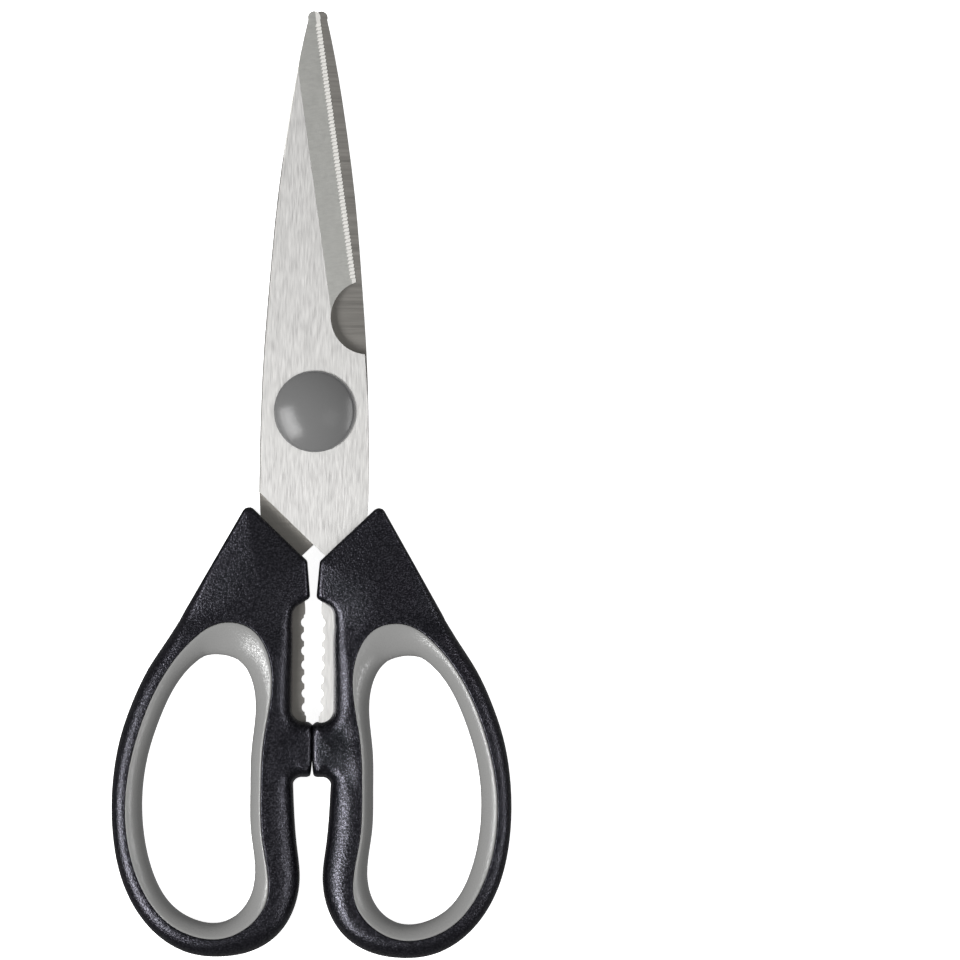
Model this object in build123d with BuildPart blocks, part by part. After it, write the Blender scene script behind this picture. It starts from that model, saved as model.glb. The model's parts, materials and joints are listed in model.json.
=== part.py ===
from build123d import *
import os
from math import atan2, cos, sin

# Kitchen shears, lying flat and closed. +Y runs from the bows to the tips, +X is to the right and
# +Z is up through the thickness. The origin is under the middle of the shears, on the surface they
# lie on. The rear half is the front half turned over about the long axis, and lies below it.

# Overall sizes, all measured from the pivot
blade_reach = 99.3
bow_reach = 135.4
bow_half_width = 49.6
blade_half_width = 13.6
handle_thick = 12.0

# Blades
blade_thick = 2.5
blade_gap = 0.1
heel_drop = 20.0
edge_belly = 0.35
bevel_width = 7.1
edge_land = 0.5
edge_thin = 0.1
strip_width = 1.0
serration_pitch = 0.9
serration_depth = 0.15
serration_low_share = 0.25
spine_break = 0.25
notch_radius = 9.2

# Tang and nutcracker teeth
tang_inner = 1.6
tang_lean = 0.4
tang_width = 6.6
tooth_pitch = 3.52
tooth_depth = 0.72
tooth_radius = 1.3
tooth_inset = 0.35
plug_radii = (2.4, 1.8, 1.3)

# Handles
shoulder_round = 1.1
bow_round = 3.0
apex_radius = 1.6
corner_radius = 1.2
fade_radii = (8.0, 4.0, 4.0, 20.0)
window_half = 5.0
window_corner = 3.0
leg_lean = 0.3
stop_gap = 0.2
stop_inset = 0.8
stop_corner = 1.3
stop_root = 2.2
stop_sink = 0.05

# Grips
grip_inset = 0.3
key_height = 2.0
key_swell_share = 1.25

# Pivot
cap_radius = 10.1
cap_rise = 3.3
cap_shoulder = 2.0
cap_round = 1.3
cap_flange = 0.5
flange_step = 0.3
cap_shut_gap = 0.05
head_radius = 7.0
head_thick = 1.4
neck_radius = 4.0
neck_flat = 3.3
journal_radius = 3.2
thread_radius = 2.5
running_clearance = 0.05
fit_clearance = 0.03
spring_thick = 0.4
spring_dish = 0.15
washer_thick = 0.5
nut_across_flats = 8.0
nut_thick = 1.5
slot_width = 1.2
slot_depth = 0.7

# Cuts run this far past what they cut
overrun = 2.0

# Outline of the finger hole at mid-thickness and of the grip's outer wall, clockwise from the top
# right, as shares of bow_half_width across and of bow_reach down from the pivot. The two lists keep
# step, so that point by point they give the width of the grip.
hole_shares = (
    (0.565, 0.455), (0.644, 0.483), (0.766, 0.568), (0.815, 0.624), (0.845, 0.694), (0.839, 0.771),
    (0.797, 0.840), (0.694, 0.906), (0.565, 0.934), (0.468, 0.938), (0.372, 0.923), (0.288, 0.869),
    (0.304, 0.767), (0.308, 0.694), (0.304, 0.622), (0.288, 0.521), (0.367, 0.459), (0.472, 0.447),
)
rim_shares = (
    (0.565, 0.408), (0.659, 0.442), (0.815, 0.537), (0.881, 0.606), (0.927, 0.694), (0.917, 0.793),
    (0.849, 0.873), (0.714, 0.938), (0.565, 0.964), (0.462, 0.967), (0.347, 0.953), (0.228, 0.905),
    (0.242, 0.785), (0.252, 0.694), (0.240, 0.603), (0.206, 0.469), (0.315, 0.397), (0.450, 0.388),
)
# Outside of the bow, from inside the shoulder down the outer edge, round the bottom and up the leg
bow_shares = (
    (0.524, 0.310), (0.585, 0.340), (0.640, 0.369), (0.717, 0.414), (0.821, 0.473), (0.897, 0.532),
    (0.953, 0.591), (0.986, 0.650), (1.000, 0.724), (0.986, 0.798), (0.949, 0.857), (0.873, 0.916),
    (0.740, 0.969), (0.605, 0.994), (0.460, 1.000), (0.315, 0.992), (0.206, 0.972), (0.133, 0.945),
    (0.079, 0.905), (0.057, 0.853), (0.072, 0.798), (0.088, 0.730),
)
# Corners of the shoulder: its apex, the front edge's lower end and the waist above the window
apex_share = (0.333, 0.169)
throat_share = (0.032, 0.274)
waist_share = (0.016, 0.342)
# How far down the window between the handles begins, the block below it, and the block's end
window_top_share = 0.3612
stop_top_share = 0.5687
stop_bottom_share = 0.6699
# Where the shoulder's crisp outline turns in and fades into the rounded leg and bow
leg_fade_shares = ((0.106, 0.415), (0.210, 0.502))
bow_fade_shares = ((0.716, 0.476), (0.682, 0.393))
# How far the grip's inner face has come in from the wall, by height from the rim to mid-thickness
grip_height_shares = (1.0, 0.82, 0.6, 0.33, 0.0)
grip_swell_shares = (0.84, 0.60, 0.34, 0.11, 0.0)

# Blade outline: the spine upwards, the tip, then the cutting edge down to the heel, as shares of
# blade_half_width across and of blade_reach up
spine_shares = ((-0.978, 0.010), (-0.930, 0.161), (-0.849, 0.312), (-0.721, 0.514), (-0.529, 0.715),
                (-0.346, 0.866), (-0.173, 0.979))
tip_shares = ((-0.055, 1.000), (0.044, 0.979))
edge_root_share = (0.735, 0.324)
heel_side_shares = ((0.908, 0.141), (0.978, 0.010))
notch_share = (0.956, 0.236)
notch_bevel_share = 0.3
# Where the blade's sides run down inside the handle, where the tang ends, and the holes in it that
# the plastic fills, as shares of blade_half_width across and of bow_reach down from the pivot
tang_side_shares = ((0.956, 0.225), (0.857, 0.285))
tang_root_share = (0.190, 0.310)
heel_end_share = (0.310, 0.274)
tang_end_share = 0.6204
plug_shares = ((0.565, 0.270), (0.511, 0.325), (0.383, 0.597))

# Places worked out from the sizes above
pivot_y = (bow_reach - blade_reach) / 2
half_thick = handle_thick / 2
inner_face = blade_gap / 2
outer_face = inner_face + blade_thick
grip_half = half_thick - grip_inset
window_top = window_top_share * bow_reach
stop_top = stop_top_share * bow_reach
stop_bottom = stop_bottom_share * bow_reach
window_mid = (window_top + stop_top) / 2
front = Plane(origin=(0, pivot_y, half_thick), x_dir=(1, 0, 0), z_dir=(0, 0, 1))
rear = Plane(origin=(0, pivot_y, half_thick), x_dir=(-1, 0, 0), z_dir=(0, 0, -1))


def on_handle(share):
    """A point of the handle, measured from the pivot."""
    return (share[0] * bow_half_width, -share[1] * bow_reach)


def on_blade(share):
    """A point of the blade, measured from the pivot."""
    return (share[0] * blade_half_width, share[1] * blade_reach)


def on_tang(share):
    """A point of the blade's tang, measured from the pivot."""
    return (share[0] * blade_half_width, -share[1] * bow_reach)


def upright(half, height):
    """The plane through the pivot that stands on a half's face: x runs outwards, y up."""
    return Plane(origin=half.from_local_coords((0, 0, height)), x_dir=half.x_dir, z_dir=-half.y_dir)


# The leg's inner side, from the bump up past the window and into the shoulder
leg_points = (
    (window_half - leg_lean, -stop_bottom),
    (window_half, -stop_top),
    (window_half, -window_mid),
    (window_half + leg_lean, -window_top - window_corner),
    (window_half + bow_round / 2, -window_top + bow_round),
)

# The cutting edge's chord, from above the notch to the tip, which the grinding follows
chord_low = Vector(*on_blade(edge_root_share))
chord_high = Vector(*on_blade(tip_shares[1]))
chord = chord_high - chord_low
chord_angle = atan2(-chord.X, chord.Y)
bevel_slope = (blade_thick - edge_land) / bevel_width
strip_slope = (edge_land + bevel_slope * strip_width - edge_thin) / strip_width


def edge_frame(half, along, height):
    """A point at a distance up the chord and a height over the blade's inner face, with the
    directions out of the edge and up the chord."""
    foot = chord_low + chord.normalized() * along
    out = half.x_dir * cos(chord_angle) + half.y_dir * sin(chord_angle)
    up = half.y_dir * cos(chord_angle) - half.x_dir * sin(chord_angle)
    return half.from_local_coords((foot.X, foot.Y, inner_face + height)), out, up


def blade_blank(half, bevel_from):
    """A blade and its tang, stamped from sheet, with the main bevel ground from a distance up the
    chord to past the tip."""
    heel = (-blade_half_width, -heel_drop)
    tang_end = tang_end_share * bow_reach
    tooth_count = int((stop_top - window_top) / tooth_pitch)
    teeth_half = tooth_count * tooth_pitch / 2
    chord_mid = (chord_low + chord_high) / 2
    belly = (chord_mid.X + edge_belly * cos(chord_angle), chord_mid.Y + edge_belly * sin(chord_angle))
    with BuildPart() as blank:
        with BuildSketch(half.offset(inner_face)):
            with BuildLine():
                Spline(heel, *[on_blade(share) for share in spine_shares])
                ThreePointArc(on_blade(spine_shares[-1]), *[on_blade(share) for share in tip_shares])
                ThreePointArc(on_blade(tip_shares[1]), belly, on_blade(edge_root_share))
                Polyline(
                    on_blade(edge_root_share),
                    *[on_blade(share) for share in heel_side_shares],
                    (blade_half_width, -heel_drop),
                    *[on_tang(share) for share in tang_side_shares],
                    (tang_inner + tang_width, -window_top),
                    (tang_inner + tang_width, -tang_end),
                    (tang_inner, -tang_end),
                    (tang_inner, -window_mid - teeth_half - tooth_inset),
                    (tang_inner + tooth_inset, -window_mid - teeth_half),
                    (tang_inner + tooth_inset + tang_lean, -window_mid + teeth_half),
                    (tang_inner + tang_lean, -window_mid + teeth_half + tooth_inset),
                    (tang_inner + tang_lean, -window_top),
                    on_tang(tang_root_share),
                    on_tang(heel_end_share),
                    heel,
                )
            make_face()
            for tooth in range(tooth_count):
                rise = (tooth - (tooth_count - 1) / 2) * tooth_pitch
                edge_x = tang_inner + tooth_inset + tang_lean * (rise + teeth_half) / (2 * teeth_half)
                with Locations((edge_x + tooth_depth - tooth_radius, -window_mid + rise)):
                    Circle(tooth_radius, mode=Mode.SUBTRACT)
            for share, radius in zip(plug_shares, plug_radii):
                with Locations(on_tang(share)):
                    Circle(radius, mode=Mode.SUBTRACT)
        extrude(amount=blade_thick)
        outer = blank.faces().sort_by(Axis(half.origin, half.z_dir))[-1]
        chamfer(outer.edges().filter_by(GeomType.BSPLINE), spine_break)
        point, out, up = edge_frame(half, bevel_from, 0)
        with BuildSketch(Plane(origin=point, x_dir=out, z_dir=-up)):
            with BuildLine():
                Polyline(
                    (-bevel_width, blade_thick),
                    (overrun, edge_land - bevel_slope * overrun),
                    (overrun, blade_thick + overrun),
                    (-bevel_width, blade_thick + overrun),
                    close=True,
                )
            make_face()
        extrude(amount=-(chord.length - bevel_from + blade_half_width), mode=Mode.SUBTRACT)
    return blank.part


def edge_strip(half, start, grooves):
    """What the second grinding takes off along the cutting edge: a narrow steeper strip, with a
    number of small grooves across it, each steep on its side towards the heel."""
    lean = atan2(strip_slope, 1)
    point, out, up = edge_frame(half, 0, edge_thin)
    across = out * cos(lean) - half.z_dir * sin(lean)
    first = (chord.length - grooves * serration_pitch) / 2
    profile = [(start, 0)]
    for groove in range(grooves):
        rim = first + groove * serration_pitch
        profile.append((rim, 0))
        profile.append((rim + serration_low_share * serration_pitch, -serration_depth))
    if grooves:
        profile.append((first + grooves * serration_pitch, 0))
    end = chord.length + blade_half_width
    with BuildPart() as strip:
        with BuildSketch(Plane(origin=point, x_dir=up, z_dir=across)):
            with BuildLine():
                Polyline(*profile, (end, 0), (end, overrun), (start, overrun), close=True)
            make_face()
        extrude(amount=strip_width + overrun, both=True)
    return strip.part


def bow_blank(half):
    """The finger loop and its leg, well rounded, ending inside the shoulder."""
    with BuildPart() as bow:
        with BuildSketch(half.offset(-half_thick)):
            with BuildLine():
                outside = Spline(*[on_handle(share) for share in bow_shares], *leg_points)
                Line(outside @ 1, outside @ 0)
            make_face()
        extrude(amount=handle_thick)
        fillet(bow.edges().filter_by(GeomType.BSPLINE), bow_round)
    return bow.part


def shoulder_blank(half):
    """The flat shoulder that holds the tang, its sides turning in where it fades into the bow."""
    corners = (
        (apex_share, apex_radius),
        (throat_share, corner_radius),
        (waist_share, corner_radius),
    )
    points = [on_handle(share) for share, radius in corners]
    radii = [radius for share, radius in corners]
    points.append((window_half, -window_top))
    radii.append(window_corner)
    for share, radius in zip(leg_fade_shares + bow_fade_shares, fade_radii):
        points.append(on_handle(share))
        radii.append(radius)
    with BuildPart() as shoulder:
        with BuildSketch(half.offset(-half_thick)):
            with BuildLine():
                FilletPolyline(*points, radius=radii, close=True)
            make_face()
        extrude(amount=handle_thick)
        rim = shoulder.faces().filter_by(Plane(half.origin, z_dir=half.z_dir))
        fillet(rim.edges(), shoulder_round)
    return shoulder.part


def stop_block(half):
    """The block on the inner leg that meets its twin when the shears are closed."""
    inner = stop_gap / 2
    side = window_half + stop_sink
    foot = window_half - leg_lean + stop_sink
    buried = window_half + bow_round
    with BuildPart() as stop:
        with BuildSketch(half.offset(stop_inset - half_thick)):
            with BuildLine():
                upper = TangentArc(
                    (side - window_corner, -stop_top), (side, window_corner - stop_top), tangent=(1, 0)
                )
                lower = TangentArc(
                    (foot, -stop_bottom - stop_root), (foot - stop_root, -stop_bottom), tangent=(0, 1)
                )
                FilletPolyline(
                    upper @ 0, (inner, -stop_top), (inner, -stop_bottom), lower @ 1, radius=stop_corner
                )
                Polyline(
                    upper @ 1,
                    (buried, window_corner - stop_top),
                    (buried, -stop_bottom - stop_root),
                    lower @ 0,
                )
            make_face()
        extrude(amount=handle_thick - 2 * stop_inset)
        rim = stop.faces().filter_by(Plane(half.origin, z_dir=half.z_dir))
        fillet(rim.edges(), shoulder_round)
    return stop.part


def ring_outline(swell):
    """A closed outline between the finger hole (0) and the grip's outer wall (1)."""
    points = []
    for hole, rim in zip(hole_shares, rim_shares):
        points.append(on_handle([inner + (outer - inner) * swell for inner, outer in zip(hole, rim)]))
    return Spline(*points, periodic=True)


def grip_seat(half, height):
    """The grip's outer wall as a solid, with the key that runs round it at mid-thickness."""
    with BuildPart() as seat:
        for reach, swell in ((height, 1), (key_height / 2, key_swell_share)):
            with BuildSketch(half.offset(-reach)):
                with BuildLine():
                    ring_outline(swell)
                make_face()
            extrude(amount=2 * reach)
    return seat.part


def finger_hole(half):
    """The hole through a grip, narrowest at mid-thickness, where the soft ring swells inwards."""
    sections = list(zip(grip_height_shares, grip_swell_shares))
    sections += [(-height, swell) for height, swell in reversed(sections[:-1])]
    with BuildPart() as hole:
        for height, swell in sections:
            with BuildSketch(half.offset(height * grip_half)):
                with BuildLine():
                    ring_outline(swell)
                make_face()
        loft()
    return hole.part


def pivot_section(radius, flat):
    """A round section with one flat, for the bolt's neck and the hole it keys in."""
    with BuildSketch() as section:
        Circle(radius)
        with Locations((flat + radius, 0)):
            Rectangle(2 * radius, 2 * radius, mode=Mode.SUBTRACT)
    return section.sketch


def cap(half, depth):
    """A domed cap, hollowed to clip over what stands a given depth on the blade."""
    bore = head_radius + fit_clearance
    with BuildPart() as dome:
        with BuildSketch(upright(half, outer_face)) as section:
            with BuildLine():
                crown = TangentArc((0, cap_rise), (cap_radius - flange_step, cap_shoulder), tangent=(1, 0))
                Polyline(
                    crown @ 1,
                    (cap_radius - flange_step, cap_flange),
                    (cap_radius, cap_flange),
                    (cap_radius, cap_shut_gap),
                    (bore, cap_shut_gap),
                    (bore, depth),
                    (0, depth),
                    (0, cap_rise),
                )
            make_face()
            shoulder = section.vertices().sort_by_distance(crown @ 1)[0]
            fillet(shoulder, cap_round)
        revolve(axis=Axis(half.origin, half.z_dir))
    return dome.part


# Blades. The front one has the bone notch and the serrated edge; the rear one has a plain edge.
notch_x, notch_y = on_blade(notch_share)
front_blank = blade_blank(front, notch_y + notch_bevel_share * notch_radius - chord_low.Y)
with BuildPart() as front_blade:
    add(front_blank)
    grooves = int(chord.length / serration_pitch - 2)
    add(edge_strip(front, -notch_radius, grooves), mode=Mode.SUBTRACT)
    with BuildSketch(front.offset(inner_face)):
        with Locations((notch_x, notch_y)):
            Circle(notch_radius)
        add(pivot_section(neck_radius + fit_clearance, neck_flat + fit_clearance))
    extrude(amount=blade_thick, mode=Mode.SUBTRACT)
front_blade.part.label = "front_blade"

ricasso = on_blade(heel_side_shares[0])[1] - chord_low.Y
with BuildPart() as rear_blade:
    add(blade_blank(rear, ricasso))
    add(edge_strip(rear, ricasso, 0), mode=Mode.SUBTRACT)
    with BuildSketch(rear.offset(inner_face)):
        Circle(journal_radius + running_clearance)
    extrude(amount=blade_thick, mode=Mode.SUBTRACT)
rear_blade.part.label = "rear_blade"

# Handles and grips. The rear ones are the front ones turned over about the long axis.
with BuildPart() as front_handle:
    add(bow_blank(front))
    add(shoulder_blank(front))
    add(stop_block(front))
    add(grip_seat(front, half_thick + overrun), mode=Mode.SUBTRACT)
    add(front_blank, mode=Mode.SUBTRACT)
front_handle.part.label = "front_handle"

with BuildPart() as front_grip:
    add(grip_seat(front, grip_half))
    add(finger_hole(front), mode=Mode.SUBTRACT)
front_grip.part.label = "front_grip"

long_axis = Axis(front.origin, front.y_dir)
with BuildPart() as rear_handle:
    add(front_handle.part.rotate(long_axis, 180))
rear_handle.part.label = "rear_handle"

with BuildPart() as rear_grip:
    add(front_grip.part.rotate(long_axis, 180))
rear_grip.part.label = "rear_grip"

# Pivot: the bolt goes down through the front blade, which its neck keys in, and the rear blade,
# which turns on its journal. The washer under the nut is drawn up to the end of the journal.
head_seat = outer_face + spring_thick + spring_dish
washer_seat = outer_face + running_clearance
with BuildPart() as pivot_bolt:
    with BuildSketch(front.offset(head_seat)):
        Circle(head_radius)
    extrude(amount=head_thick)
    with BuildSketch(front.offset(head_seat + head_thick - slot_depth)):
        Rectangle(2 * head_radius, slot_width)
    extrude(amount=slot_depth, mode=Mode.SUBTRACT)
    with BuildSketch(front.offset(inner_face)):
        add(pivot_section(neck_radius, neck_flat))
    extrude(amount=head_seat - inner_face)
    with BuildSketch(front.offset(-washer_seat)):
        Circle(journal_radius)
    extrude(amount=washer_seat + inner_face)
    with BuildSketch(front.offset(-washer_seat - washer_thick - nut_thick)):
        Circle(thread_radius)
    extrude(amount=washer_thick + nut_thick)
pivot_bolt.part.label = "pivot_bolt"

with BuildPart() as spring_washer:
    with BuildSketch(upright(front, outer_face)):
        with BuildLine():
            Polyline(
                (neck_radius + fit_clearance, spring_dish),
                (neck_radius + fit_clearance, spring_dish + spring_thick),
                (head_radius - spring_thick, spring_thick),
                (head_radius - spring_thick, 0),
                close=True,
            )
        make_face()
    revolve(axis=Axis(front.origin, front.z_dir))
spring_washer.part.label = "spring_washer"

with BuildPart() as flat_washer:
    with BuildSketch(rear.offset(washer_seat)):
        Circle(head_radius)
        Circle(thread_radius + fit_clearance, mode=Mode.SUBTRACT)
    extrude(amount=washer_thick)
flat_washer.part.label = "flat_washer"

with BuildPart() as pivot_nut:
    with BuildSketch(rear.offset(washer_seat + washer_thick)):
        RegularPolygon(nut_across_flats / 2, 6, major_radius=False)
        Circle(thread_radius + fit_clearance, mode=Mode.SUBTRACT)
    extrude(amount=nut_thick)
pivot_nut.part.label = "pivot_nut"

with BuildPart() as front_cap:
    add(cap(front, head_seat - outer_face + head_thick + cap_shut_gap))
front_cap.part.label = "front_cap"

with BuildPart() as rear_cap:
    add(cap(rear, washer_seat - outer_face + washer_thick + nut_thick + cap_shut_gap))
rear_cap.part.label = "rear_cap"

os.makedirs("parts", exist_ok=True)
pieces = (
    front_blade, rear_blade, front_handle, rear_handle, front_grip, rear_grip,
    pivot_bolt, spring_washer, flat_washer, pivot_nut, front_cap, rear_cap,
)
for piece in pieces:
    export_step(piece.part, f"parts/{piece.part.label}.step")
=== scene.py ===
import json
import math

import bmesh
import bpy
from mathutils import Matrix, Vector
from mathutils.kdtree import KDTree


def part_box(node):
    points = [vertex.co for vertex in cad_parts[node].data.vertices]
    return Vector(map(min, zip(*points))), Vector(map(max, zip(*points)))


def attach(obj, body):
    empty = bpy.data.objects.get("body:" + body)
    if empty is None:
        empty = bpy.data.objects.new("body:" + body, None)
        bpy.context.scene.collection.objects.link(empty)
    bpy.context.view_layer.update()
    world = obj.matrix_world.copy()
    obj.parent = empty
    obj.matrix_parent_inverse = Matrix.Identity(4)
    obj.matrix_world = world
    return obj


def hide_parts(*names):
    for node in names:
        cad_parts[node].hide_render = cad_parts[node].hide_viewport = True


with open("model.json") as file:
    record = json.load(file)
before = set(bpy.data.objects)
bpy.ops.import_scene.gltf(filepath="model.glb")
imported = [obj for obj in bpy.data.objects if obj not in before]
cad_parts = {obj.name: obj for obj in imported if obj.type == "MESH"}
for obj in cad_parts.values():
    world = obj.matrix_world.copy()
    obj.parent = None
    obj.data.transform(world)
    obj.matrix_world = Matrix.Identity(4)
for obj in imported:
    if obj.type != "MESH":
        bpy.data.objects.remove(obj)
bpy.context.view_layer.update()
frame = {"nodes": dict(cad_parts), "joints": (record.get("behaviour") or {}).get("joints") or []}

# Blades
# Each blade and its tang are one stamping of stainless sheet. Its flats are brushed lengthwise, the
# bevel is ground across, and a narrow strip along the edge is ground once more, steeper. Tumbling
# leaves a small break on its sheared sides.
mm = 0.001
pivot = Vector(frame["joints"][0]["pos_m"])
merge_reach = 0.001 * mm
level_turn = math.radians(0.3)
blade_break = 0.05 * mm
break_steps = 3
flat_tilt = math.radians(3)
bevel_tilt = math.radians(22)
sheared_tilt = math.radians(60)
wall_turn = math.radians(25)
# Steep faces on the edge's side of this place are honed, and those on the spine's side are sheared
strip_side = -8 * mm
band_share = 0.17
band_weight_share = 0.2
flat_slot, bevel_slot, strip_slot, sliding_slot, sheared_slot = range(5)


def linear(code):
    """An sRGB hex colour as linear red, green, blue and alpha."""
    shares = [int(code[i:i + 2], 16) / 255 for i in (1, 3, 5)]
    return [s / 12.92 if s <= 0.04045 else ((s + 0.055) / 1.055) ** 2.4 for s in shares] + [1.0]


def add(tree, kind, inputs=None, **settings):
    """Adds one shader node, sets it up, and gives its inputs their values or links."""
    node = tree.nodes.new("ShaderNode" + kind)
    for key, value in settings.items():
        setattr(node, key, value)
    for key, value in (inputs or {}).items():
        if isinstance(value, bpy.types.NodeSocket):
            tree.links.new(value, node.inputs[key])
        else:
            node.inputs[key].default_value = value
    return node


def new_finish(name):
    """An empty node material, with its tree and its output."""
    finish = bpy.data.materials.new(name)
    finish.use_nodes = True
    finish.node_tree.nodes.clear()
    return finish, finish.node_tree, add(finish.node_tree, "OutputMaterial")


def worked_steel(name, colour, roughness, line_gap, line_length, turn, depth, contrast, pull):
    """Stainless steel with the fine parallel lines that a belt or a wheel leaves, and faint broader
    bands among them. The lines run along Y, turned by an angle."""
    finish, tree, output = new_finish(name)
    place = add(tree, "TexCoord")
    mapped = add(tree, "Mapping", {
        "Vector": place.outputs["Object"],
        "Rotation": (0, 0, -turn),
    })
    stretched = add(tree, "Mapping", {
        "Vector": mapped.outputs["Vector"],
        "Scale": (1 / line_gap, 1 / line_length, 1 / line_gap),
    })
    lines = add(tree, "TexNoise", {"Vector": stretched.outputs["Vector"], "Scale": 1.0, "Detail": 4.0,
                                   "Roughness": 0.6})
    bands = add(tree, "TexNoise", {"Vector": stretched.outputs["Vector"], "Scale": band_share,
                                   "Detail": 2.0})
    mixed = add(tree, "Math", {0: bands.outputs["Fac"], 1: band_weight_share, 2: lines.outputs["Fac"]},
                operation="MULTIPLY_ADD")
    shade = add(tree, "MapRange", {"Value": mixed.outputs["Value"], "From Min": 0.4, "From Max": 0.9,
                                   "To Min": 1 - contrast, "To Max": 1 + contrast})
    tint = add(tree, "VectorMath", {0: linear(colour)[:3], "Scale": shade.outputs["Result"]},
               operation="SCALE")
    rough = add(tree, "MapRange", {"Value": lines.outputs["Fac"], "From Min": 0.3, "From Max": 0.7,
                                   "To Min": roughness * 0.85, "To Max": roughness * 1.15})
    across = add(tree, "VectorTransform", {"Vector": (math.cos(turn), math.sin(turn), 0)},
                 vector_type="VECTOR", convert_from="OBJECT", convert_to="WORLD")
    relief = add(tree, "Bump", {"Height": lines.outputs["Fac"], "Strength": 1.0, "Distance": depth})
    steel = add(tree, "BsdfPrincipled", {
        "Base Color": tint.outputs["Vector"],
        "Metallic": 1.0,
        "Roughness": rough.outputs["Result"],
        "Anisotropic": pull,
        "Tangent": across.outputs["Vector"],
        "Normal": relief.outputs["Normal"],
    })
    tree.links.new(steel.outputs["BSDF"], output.inputs["Surface"])
    return finish


# Real grit lines are finer than the picture can show, so they are drawn a quarter of a millimetre
# apart or more. The flats are brushed with a belt, which pulls their shine out across the blade.
brushed_stainless = worked_steel("brushed_stainless", "#cbcac8", roughness=0.4, line_gap=0.25 * mm,
                                 line_length=4 * mm, turn=0, depth=0.002 * mm, contrast=0.07, pull=0.6)
# The bevel is ground with a wheel across the edge, and looks one even grey.
cross_ground_stainless = worked_steel("cross_ground_stainless", "#dadad5", roughness=0.34,
                                      line_gap=0.5 * mm, line_length=12 * mm, turn=math.radians(98),
                                      depth=0.003 * mm, contrast=0.06, pull=0.5)
# The strip along the edge is honed across, so it scatters the light. Its colour is also lifted nearly
# to white as a painted highlight, for the glints along its serrations.
honed_stainless_painted_highlight = worked_steel("honed_stainless_painted_highlight", "#f6f5f2", roughness=0.8, line_gap=0.4 * mm,
                               line_length=4 * mm, turn=math.radians(98), depth=0.003 * mm, contrast=0.04,
                               pull=0.0)
# The faces that slide on each other are ground flat. They are darker than the brushed ones partly for
# that finish and partly as painted shade, where the rear blade lies lower, under the front one.
surface_ground_stainless_painted_shade = worked_steel("surface_ground_stainless_painted_shade", "#a19e99", roughness=0.42,
                                        line_gap=0.4 * mm, line_length=20 * mm, turn=math.radians(90),
                                        depth=0.003 * mm, contrast=0.05, pull=0.4)
# The sides are as the press left them, dull and a little torn.
sheared_stainless = worked_steel("sheared_stainless", "#a5a4a1", roughness=0.5, line_gap=0.5 * mm,
                                 line_length=3 * mm, turn=0, depth=0.006 * mm, contrast=0.08, pull=0.0)


def merged_copy(node):
    """A CAD node's mesh as one connected shape, with its loose triangles merged."""
    shape = bmesh.new()
    shape.from_mesh(frame["nodes"][node].data)
    bmesh.ops.remove_doubles(shape, verts=shape.verts, dist=merge_reach)
    return shape


def add_piece(name, shape, finishes, body, slot, *nodes):
    """Makes the finished object of a shape, which stands for CAD nodes and rides on a body. Normals
    that came with a CAD mesh don't fit its changed faces, so they go."""
    mesh = bpy.data.meshes.new(name)
    shape.to_mesh(mesh)
    shape.free()
    for spare in [a for a in mesh.attributes if a.name == "custom_normal"]:
        mesh.attributes.remove(spare)
    for finish in finishes:
        mesh.materials.append(finish)
    piece = bpy.data.objects.new(name, mesh)
    bpy.context.scene.collection.objects.link(piece)
    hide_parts(*nodes)
    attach(piece, body)
    return piece


def smooth_up_to(piece, angle):
    """Shades a piece smooth, but for edges that turn by more than an angle."""
    piece.data.shade_smooth()
    piece.data.set_sharp_from_angle(angle=angle)


for half, outward in (("front", 1), ("rear", -1)):
    blade = merged_copy(half + "_blade")
    bmesh.ops.dissolve_limit(blade, angle_limit=level_turn, verts=blade.verts, edges=blade.edges)
    blade.normal_update()
    upward = Vector((0, 0, outward))
    for face in blade.faces:
        tilt = face.normal.angle(upward)
        on_strip = face.calc_center_median().x * outward > strip_side
        if tilt < flat_tilt:
            face.material_index = flat_slot
        elif tilt < bevel_tilt:
            face.material_index = bevel_slot
        elif tilt < sheared_tilt and on_strip:
            face.material_index = strip_slot
        elif tilt > math.pi - flat_tilt:
            face.material_index = sliding_slot
        else:
            face.material_index = sheared_slot
    broken = [{slot, sheared_slot} for slot in (flat_slot, bevel_slot, sliding_slot)]
    rims = [e for e in blade.edges if len(e.link_faces) == 2 and e.calc_face_angle() > sheared_tilt
            and {f.material_index for f in e.link_faces} in broken]
    bmesh.ops.bevel(blade, geom=rims, offset=blade_break, affect="EDGES", segments=break_steps, profile=0.5,
                    material=-1, clamp_overlap=True)
    for face in blade.faces:
        on_break = (face.material_index in (flat_slot, sliding_slot)
                    and abs(face.normal.z) < math.cos(flat_tilt))
        face.smooth = on_break or face.material_index == sheared_slot
    for edge in blade.edges:
        edge.smooth = edge.calc_face_angle(0) < wall_turn
    finishes = (brushed_stainless, cross_ground_stainless, honed_stainless_painted_highlight, surface_ground_stainless_painted_shade,
                sheared_stainless)
    add_piece(half + "_blade_ground", blade, finishes, half + "_half", "blade_steel", half + "_blade")

# Handles
# Each handle is one moulding of blue-black plastic with a spark-eroded grain, shot round the tang.
# Its shoulder is lightly crowned with tight rounds, and its bow and leg are well rounded.
handle_cut = 2.8 * mm
outline_step = 0.45 * mm
least_step = 0.25 * mm
crossing_reach = 0.02 * mm
seat_round = 0.3 * mm
profile_steps = 12
# Reach of the edge's round against the distance below the pivot, on the inner and on the outer side,
# all in millimetres
inner_rounds = ((0, 1.1), (44, 1.2), (48, 2.4), (54, 3.4), (70, 5.0), (75, 4.6), (77.4, 3.6), (79, 1.3),
                (88, 1.3), (90.2, 4.2), (94, 6.0), (98, 6.6), (114, 6.6), (128, 4.5), (140, 4.5))
outer_rounds = ((0, 1.1), (40, 1.3), (60, 4.6), (140, 4.6))
inner_side = 9.0 * mm
# The round takes no more than this share of the way to the grip, and goes no deeper than this
round_share = 0.93
deepest_round = 5.0 * mm
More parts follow.
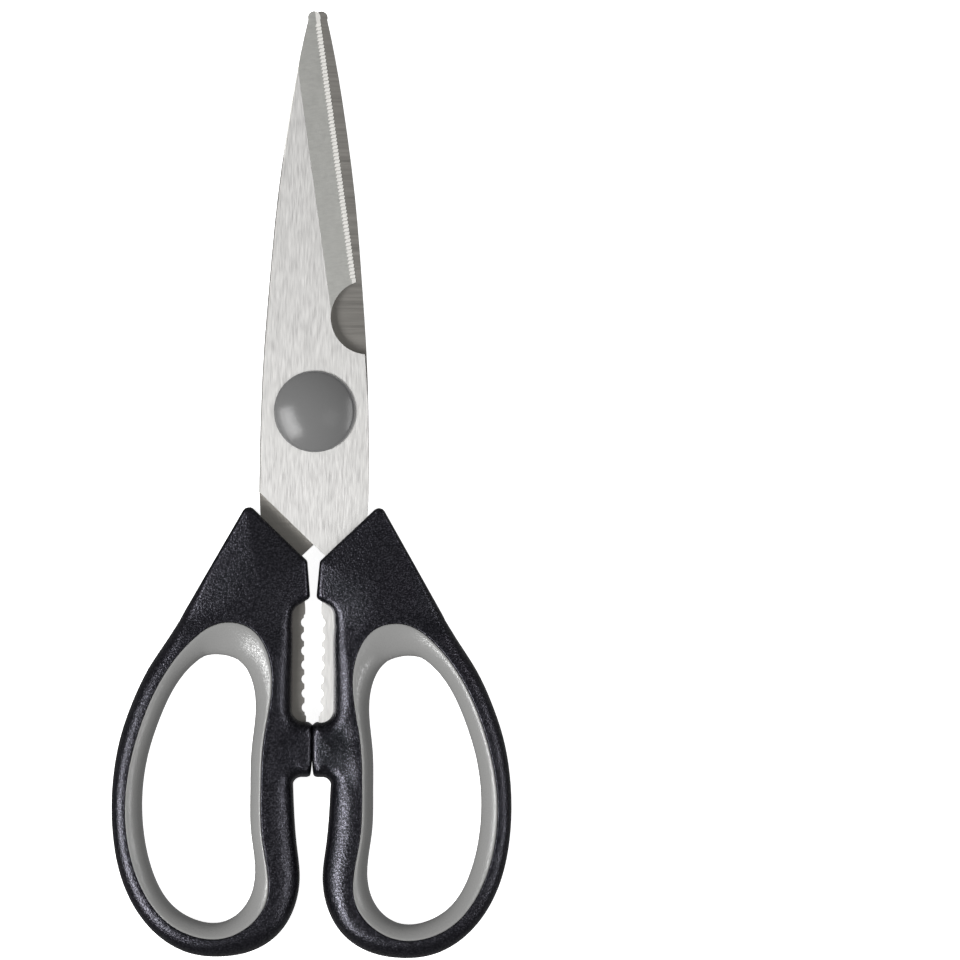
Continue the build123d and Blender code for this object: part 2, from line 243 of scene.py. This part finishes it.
# The crown is this deep at the edge's round, comes up to full height over its reach, and fades out at
# the grip's seat
crown_depth = 0.8 * mm
crown_reach = 9.0 * mm
crown_power = 1.5
seat_level = 4.0 * mm
# Share of the crown against the distance below the pivot in millimetres: the shoulder has it, and so
# has the stop at mid-length
crown_shares = ((0, 1), (50, 1), (62, 0), (74, 0), (82, 1), (88, 1), (98, 0))
# The stops' faces all but touch in the middle, and open in a small V at the end of the contact, which
# is given in millimetres below the pivot
contact_reach = 0.3 * mm
contact_gap = 0.02 * mm
contact_opening = 0.2 * mm
contact_end = (85, 89)
net_step = 1.3 * mm
net_turns = 6
round_passes = 6
way_passes = 24
smooth_turn = math.radians(40)


def read_table(table, value):
    """The second number of a table at a value of the first, along straight lines."""
    for (low, first), (high, second) in zip(table, table[1:]):
        if value <= high:
            return first + (second - first) * max(0, value - low) / (high - low)
    return table[-1][1]


def ease(share):
    """A share from 0 to 1, eased at both ends."""
    share = max(0, min(1, share))
    return share * share * (3 - 2 * share)


def rings_of(shape):
    """The closed rings of edges in a shape, each as its vertices in order, the longest first."""
    rings = []
    unused = set(shape.verts)
    while unused:
        here = unused.pop()
        ring = [here]
        ahead = [here]
        while ahead:
            # One vertex further along the ring, or none where it closes
            ahead = [e.other_vert(here) for e in here.link_edges if e.other_vert(here) in unused][:1]
            for here in ahead:
                unused.discard(here)
                ring.append(here)
        rings.append(ring)
    return sorted(rings, key=lambda ring: sum((a.co - b.co).length for a, b in zip(ring, ring[1:])),
                  reverse=True)


def level_cut(node, height):
    """The outlines where a level plane cuts a CAD node, with their points at even steps."""
    shape = merged_copy(node)
    bmesh.ops.bisect_plane(shape, geom=shape.verts[:] + shape.edges[:] + shape.faces[:],
                           plane_co=(0, 0, height), plane_no=(0, 0, 1), clear_inner=True,
                           clear_outer=True, dist=merge_reach / 100)
    bmesh.ops.remove_doubles(shape, verts=shape.verts, dist=crossing_reach)
    for edge in [e for e in shape.edges if e.calc_length() > 1.5 * outline_step]:
        cuts = round(edge.calc_length() / outline_step) - 1
        bmesh.ops.subdivide_edges(shape, edges=[edge], cuts=cuts)
    bmesh.ops.remove_doubles(shape, verts=shape.verts, dist=least_step)
    for vert in shape.verts:
        vert.co.z = pivot.z
    return shape


def wound(ring, anticlockwise):
    """A ring of vertices in the order that runs anticlockwise, or clockwise."""
    turning = sum(a.co.x * b.co.y - b.co.x * a.co.y for a, b in zip(ring, ring[1:] + ring[:1]))
    return ring if (turning > 0) == anticlockwise else ring[::-1]


def left_of(ring, ahead=2):
    """For each vertex of a ring, the level direction to its left-hand side, taken over a few
    neighbours so that it turns evenly."""
    count = len(ring)
    steps = [ring[(i + ahead) % count].co - ring[(i - ahead) % count].co for i in range(count)]
    return [Vector((-step.y, step.x, 0)).normalized() for step in steps]


def evened(values, passes):
    """A closed row of numbers or vectors, each averaged with its neighbours a number of times."""
    count = len(values)
    for turn in range(passes):
        values = [(values[i - 1] + values[i] + values[(i + 1) % count]) / 3 for i in range(count)]
    return values


def search_tree(points):
    """A tree that finds the nearest of some points."""
    tree = KDTree(len(points))
    for i, point in enumerate(points):
        tree.insert(point, i)
    tree.balance()
    return tree


def raise_ring(shape, edges, facts, place):
    """Extrudes a ring of edges, and puts each new vertex where a function says from the facts of the
    vertex that it came from. Gives the new edges and their vertices' facts."""
    made = bmesh.ops.extrude_edge_only(shape, edges=edges)
    fresh = {v for v in made["geom"] if isinstance(v, bmesh.types.BMVert)}
    carried = {}
    for vert in fresh:
        (source,) = [e.other_vert(vert) for e in vert.link_edges if e.other_vert(vert) not in fresh]
        carried[vert] = facts[source]
        vert.co = place(*facts[source])
    ring = [e for e in made["geom"] if isinstance(e, bmesh.types.BMEdge)
            and e.verts[0] in fresh and e.verts[1] in fresh]
    return ring, carried


def mirrored(shape):
    """The upper half of a moulding, closed with its mirror image below mid-height."""
    bmesh.ops.mirror(shape, geom=shape.verts[:] + shape.edges[:] + shape.faces[:],
                     matrix=Matrix.Translation((0, 0, -pivot.z)), axis="Z", merge_dist=merge_reach)
    bmesh.ops.recalc_face_normals(shape, faces=shape.faces)
    return shape


def half_turned(shape):
    """The same moulding on the other half of the shears, half a turn round the pivot's long axis."""
    turn = Matrix.Translation(pivot) @ Matrix.Rotation(math.pi, 4, "Y") @ Matrix.Translation(-pivot)
    bmesh.ops.transform(shape, matrix=turn, verts=shape.verts)
    return shape


def moulded_handle():
    """The front handle's moulding: a wall up from mid-height, a round of changing size, the crowned
    top and the small round at the grip."""
    shape = level_cut("front_handle", pivot.z + handle_cut)
    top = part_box("front_handle")[1].z
    outer, seat = rings_of(shape)[:2]
    outer, seat = wound(outer, True), wound(seat, False)
    for vert in outer:
        if vert.co.x < contact_reach:
            below = (pivot.y - vert.co.y) / mm
            opening = max(0, below - contact_end[0]) / (contact_end[1] - contact_end[0])
            vert.co.x = contact_gap + contact_opening * opening ** 2
    seat_near = search_tree([v.co for v in seat])

    def crown_share(spot):
        along = ease(read_table(crown_shares, (pivot.y - spot.y) / mm))
        return along * ease(seat_near.find(spot)[2] / seat_level)

    rounds = []
    for vert in outer:
        table = inner_rounds if vert.co.x < inner_side else outer_rounds
        reach = read_table(table, (pivot.y - vert.co.y) / mm) * mm
        rounds.append(min(reach, round_share * seat_near.find(vert.co)[2]))
    rounds = evened(rounds, round_passes)
    offsets = evened([way * reach for way, reach in zip(left_of(outer), rounds)], way_passes)
    facts = {}
    for vert, offset, reach in zip(outer, offsets, rounds):
        drop = crown_depth * crown_share(vert.co + offset)
        last = math.pi / 2 - math.atan(crown_power * drop / crown_reach)
        facts[vert] = (vert.co.copy(), offset, min(reach, deepest_round), last, drop)
    for vert, way in zip(seat, left_of(seat)):
        facts[vert] = (vert.co.copy(), way * seat_round, seat_round, math.pi / 2, 0)
    edges = shape.edges[:]
    for step in range(profile_steps + 1):
        def on_round(start, offset, height, last, drop):
            angle = last * step / profile_steps
            spot = start + offset * (1 - math.cos(angle))
            spot.z = top - drop - height * (math.sin(last) - math.sin(angle))
            return spot
        edges, facts = raise_ring(shape, edges, facts, on_round)
    crest = [Vector((v.co.x, v.co.y, pivot.z)) for v in facts if facts[v][2] > seat_round]
    crest_near = search_tree(crest)
    # The top is filled, cut into a fine net and laid on the crown. Meanwhile a material slot marks its
    # faces.
    for part in bmesh.ops.triangle_fill(shape, edges=edges, use_beauty=True, normal=(0, 0, 1))["geom"]:
        if isinstance(part, bmesh.types.BMFace):
            part.material_index = 1
    for turn in range(net_turns):
        inside = [e for e in shape.edges if all(f.material_index for f in e.link_faces)]
        bmesh.ops.subdivide_edges(shape, edges=[e for e in inside if e.calc_length() > net_step], cuts=1)
        bmesh.ops.triangulate(shape, faces=[f for f in shape.faces if f.material_index])
        inside = [e for e in shape.edges if all(f.material_index for f in e.link_faces)]
        bmesh.ops.beautify_fill(shape, faces=[f for f in shape.faces if f.material_index], edges=inside)
    for vert in shape.verts:
        if vert.link_faces and all(f.material_index for f in vert.link_faces):
            spot = Vector((vert.co.x, vert.co.y, pivot.z))
            fall = max(0, 1 - crest_near.find(spot)[2] / crown_reach)
            vert.co.z = top - crown_depth * crown_share(spot) * fall ** crown_power
    for face in shape.faces:
        face.material_index = 0
    return mirrored(shape)


def fine_grained(name, colour, sheen, roughness, grain, depth, least, most):
    """A moulding with the fine grain of a spark-eroded mould. Its tops shine and its pits don't, which
    breaks the gloss into sparkles."""
    finish, tree, output = new_finish(name)
    place = add(tree, "TexCoord")
    pits = add(tree, "TexNoise", {"Vector": place.outputs["Object"], "Scale": 1 / grain, "Detail": 2.0,
                                  "Roughness": 0.6})
    relief = add(tree, "Bump", {"Height": pits.outputs["Fac"], "Strength": 1.0, "Distance": depth})
    gloss = add(tree, "MapRange", {"Value": pits.outputs["Fac"], "From Min": 0.45, "From Max": 0.65,
                                   "To Min": least, "To Max": most})
    plastic = add(tree, "BsdfPrincipled", {
        "Base Color": linear(colour),
        "Roughness": roughness,
        "IOR": 1.49,
        "Specular IOR Level": gloss.outputs["Result"],
        "Specular Tint": linear(sheen),
        "Normal": relief.outputs["Normal"],
    })
    tree.links.new(plastic.outputs["BSDF"], output.inputs["Surface"])
    return finish


# The handles' blue-black plastic sparkles where the tops of its grain catch a light. The real grain is
# finer than the picture can show, so it is drawn 0.4 mm wide.
black_moulding = fine_grained("spark_eroded_plastic", "#08080b", "#efeeff", roughness=0.25,
                              grain=0.42 * mm, depth=0.11 * mm, least=0.22, most=1.0)
for half in ("front", "rear"):
    handle = moulded_handle() if half == "front" else half_turned(moulded_handle())
    piece = add_piece(half + "_handle_moulding", handle, (black_moulding,), half + "_half",
                      "handle_plastic", half + "_handle")
    smooth_up_to(piece, smooth_turn)

# Grips
# Each grip is a soft grey ring, moulded into the bow. It falls in a quarter round from a small lip at
# the black plastic to the finger hole's narrowest place, at mid-thickness.
rim_cut = 3.0 * mm
grip_rise = 5.7 * mm
# A true quarter round has powers of 2 and 0.5; these fall sooner at the lip
fall_powers = (1.25, 0.4)
lip_round = 0.25 * mm
lip_steps = 4
grip_steps = 20
grip_passes = 6


def moulded_grip():
    """The front grip: a wall up from mid-height at its rim, the lip, and the fall to the hole."""
    shape = level_cut("front_grip", pivot.z + rim_cut)
    rim, spare = rings_of(shape)[:2]
    bmesh.ops.delete(shape, geom=spare, context="VERTS")
    rim = wound(rim, True)
    middle = level_cut("front_grip", pivot.z)
    hole_near = search_tree([v.co for v in rings_of(middle)[1]])
    offsets = evened([hole_near.find(v.co)[0] - v.co for v in rim], grip_passes)
    middle.free()
    facts = {vert: (vert.co.copy(), offset) for vert, offset in zip(rim, offsets)}
    lip = [math.pi / 2 * i / lip_steps for i in range(lip_steps)]
    fall = [1 - (1 - i / grip_steps) ** 2 for i in range(grip_steps + 1)]
    profile = [(lip_round * (1 - math.cos(a)), 0, grip_rise - lip_round * (1 - math.sin(a))) for a in lip]
    profile += [(lip_round, t, grip_rise * (1 - t ** fall_powers[0]) ** fall_powers[1]) for t in fall]
    edges = shape.edges[:]
    for reach, share, height in profile:
        def on_fall(start, offset):
            spot = start + offset.normalized() * (reach + share * (offset.length - lip_round))
            spot.z = pivot.z + height
            return spot
        edges, facts = raise_ring(shape, edges, facts, on_fall)
    return mirrored(shape)


# The rubber is even in colour, with a soft gloss that its grain breaks up. The grain is drawn as wide
# as the handles'.
grey_rubber = fine_grained("soft_grey_rubber", "#7c7c7b", "#ffffff", roughness=0.27, grain=0.4 * mm,
                           depth=0.04 * mm, least=0.2, most=1.0)
for half in ("front", "rear"):
    grip = moulded_grip() if half == "front" else half_turned(moulded_grip())
    piece = add_piece(half + "_grip_ring", grip, (grey_rubber,), half + "_half", "grip_rubber",
                      half + "_grip")
    smooth_up_to(piece, smooth_turn)

# Pivot and caps
# The bolt, its washers and its nut are plain turned steel, out of sight under two domed caps. The caps
# are grey like the grips but harder and glossier, with a thin flange on the blade.
dome_radius = 19.0 * mm
flange_width = 0.4 * mm
flange_rise = 0.45 * mm
dome_steps = 24
cap_steps = 96
cap_edge_round = 0.12 * mm
cap_edge_steps = 2
cap_rim_turn = math.radians(50)


def domed_cap():
    """The front cap: its outline from the top of the dome to the flange, spun round the pivot."""
    low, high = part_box("front_cap")
    radius = (high.x - low.x) / 2
    spread = math.asin((radius - flange_width) / dome_radius)
    angles = [spread * i / dome_steps for i in range(dome_steps + 1)]
    outline = [(dome_radius * math.sin(a), high.z - dome_radius * (1 - math.cos(a))) for a in angles]
    outline += [(radius - flange_width, low.z + flange_rise), (radius, low.z + flange_rise),
                (radius, low.z), (0, low.z)]
    shape = bmesh.new()
    spots = [shape.verts.new((pivot.x + reach, pivot.y, height)) for reach, height in outline]
    profile = [shape.edges.new(pair) for pair in zip(spots, spots[1:])]
    bmesh.ops.spin(shape, geom=spots + profile, cent=pivot, axis=(0, 0, 1), dvec=(0, 0, 0),
                   angle=2 * math.pi, steps=cap_steps, use_merge=True)
    bmesh.ops.remove_doubles(shape, verts=shape.verts, dist=merge_reach)
    bmesh.ops.recalc_face_normals(shape, faces=shape.faces)
    rims = [e for e in shape.edges if e.calc_face_angle() > cap_rim_turn]
    bmesh.ops.bevel(shape, geom=rims, offset=cap_edge_round, affect="EDGES", segments=cap_edge_steps,
                    profile=0.5, material=-1, clamp_overlap=True)
    return shape


# Stainless steel as the lathe leaves it, plain and evenly bright.
turned_steel = worked_steel("turned_steel", "#b0afac", roughness=0.35, line_gap=0.3 * mm,
                            line_length=3 * mm, turn=0, depth=0.004 * mm, contrast=0.05, pull=0.0)
# The caps' hard plastic is nearly smooth, so the lights stand on it as soft patches.
satin_cap = fine_grained("satin_grey_cap", "#646464", "#ffffff", roughness=0.22, grain=0.4 * mm,
                         depth=0.01 * mm, least=0.2, most=0.3)
for half in ("front", "rear"):
    cap = domed_cap() if half == "front" else half_turned(domed_cap())
    piece = add_piece(half + "_cap_dome", cap, (satin_cap,), "front_half", "cap_plastic", half + "_cap")
    smooth_up_to(piece, smooth_turn)
for name in ("pivot_bolt", "spring_washer", "flat_washer", "pivot_nut"):
    for place in frame["nodes"][name].material_slots:
        place.material = turned_steel

# Floor
# A wide pale table top of matt white paper. It glows by itself, so that it comes out nearly white, and
# the shears get no light from it.
metre = 1.0
floor_half = 6.0 * metre
floor_gap = 0.02 * mm
floor_glow = 0.92
shape = bmesh.new()
bmesh.ops.create_grid(shape, x_segments=1, y_segments=1, size=floor_half)
bmesh.ops.translate(shape, verts=shape.verts, vec=(0, 0, -floor_gap))
mesh = bpy.data.meshes.new("floor")
shape.to_mesh(mesh)
shape.free()
floor = bpy.data.objects.new("floor", mesh)
bpy.context.scene.collection.objects.link(floor)
finish, tree, output = new_finish("pale_table")
paper = add(tree, "BsdfPrincipled", {
    "Base Color": linear("#f2f2f2"),
    "Roughness": 0.9,
    "Specular IOR Level": 0.1,
    "Emission Color": linear("#ffffff"),
    "Emission Strength": floor_glow,
})
tree.links.new(paper.outputs["BSDF"], output.inputs["Surface"])
mesh.materials.append(finish)
floor.visible_glossy = False
floor.visible_diffuse = False

# Light and camera
# A large softbox stands to the left, a long low one to the right, and a weak panel hangs high on the
# right. The camera looks straight down, and is turned by less than half a degree.
room_light = 0.22
scene = bpy.context.scene
# Colours come out as they are, without a film's curve
scene.view_settings.view_transform = "Standard"
world = bpy.data.worlds.new("studio")
world.use_nodes = True
world.node_tree.nodes["Background"].inputs["Color"].default_value = linear("#ffffff")
world.node_tree.nodes["Background"].inputs["Strength"].default_value = room_light
scene.world = world


def add_softbox(name, angle, rise, distance, width, height, power):
    """A four-sided light that faces the object, at an angle anticlockwise from +X and a rise over the
    floor."""
    light = bpy.data.lights.new(name, "AREA")
    light.shape = "RECTANGLE"
    light.size = width
    light.size_y = height
    light.energy = power
    box = bpy.data.objects.new(name, light)
    away = Vector((math.cos(rise) * math.cos(angle), math.cos(rise) * math.sin(angle), math.sin(rise)))
    box.location = away * distance
    box.rotation_euler = away.to_track_quat("Z", "Y").to_euler()
    box.visible_camera = False
    bpy.context.scene.collection.objects.link(box)


add_softbox("left_softbox", angle=math.radians(203), rise=math.radians(48), distance=1.4 * metre,
            width=1.1 * metre, height=0.55 * metre, power=30)
add_softbox("right_softbox", angle=math.radians(-4), rise=math.radians(34), distance=1.6 * metre,
            width=1.2 * metre, height=0.14 * metre, power=8)
add_softbox("high_panel", angle=math.radians(-20), rise=math.radians(64), distance=1.8 * metre,
            width=0.7 * metre, height=0.7 * metre, power=1.9)

view_centre = Vector((41.13 * mm, 1.37 * mm, pivot.z))
view_width = 238.2 * mm
view_distance = 2.6 * metre
view_roll = 0.0078
camera = bpy.data.cameras.new("camera")
camera.sensor_width = 36.0
camera.lens = camera.sensor_width * view_distance / view_width
camera.clip_start = 0.1 * metre
camera.clip_end = 30.0 * metre
eye = bpy.data.objects.new("camera", camera)
eye.location = view_centre + Vector((0, 0, view_distance))
eye.rotation_euler = (0, 0, view_roll)
bpy.context.scene.collection.objects.link(eye)
scene.camera = eye
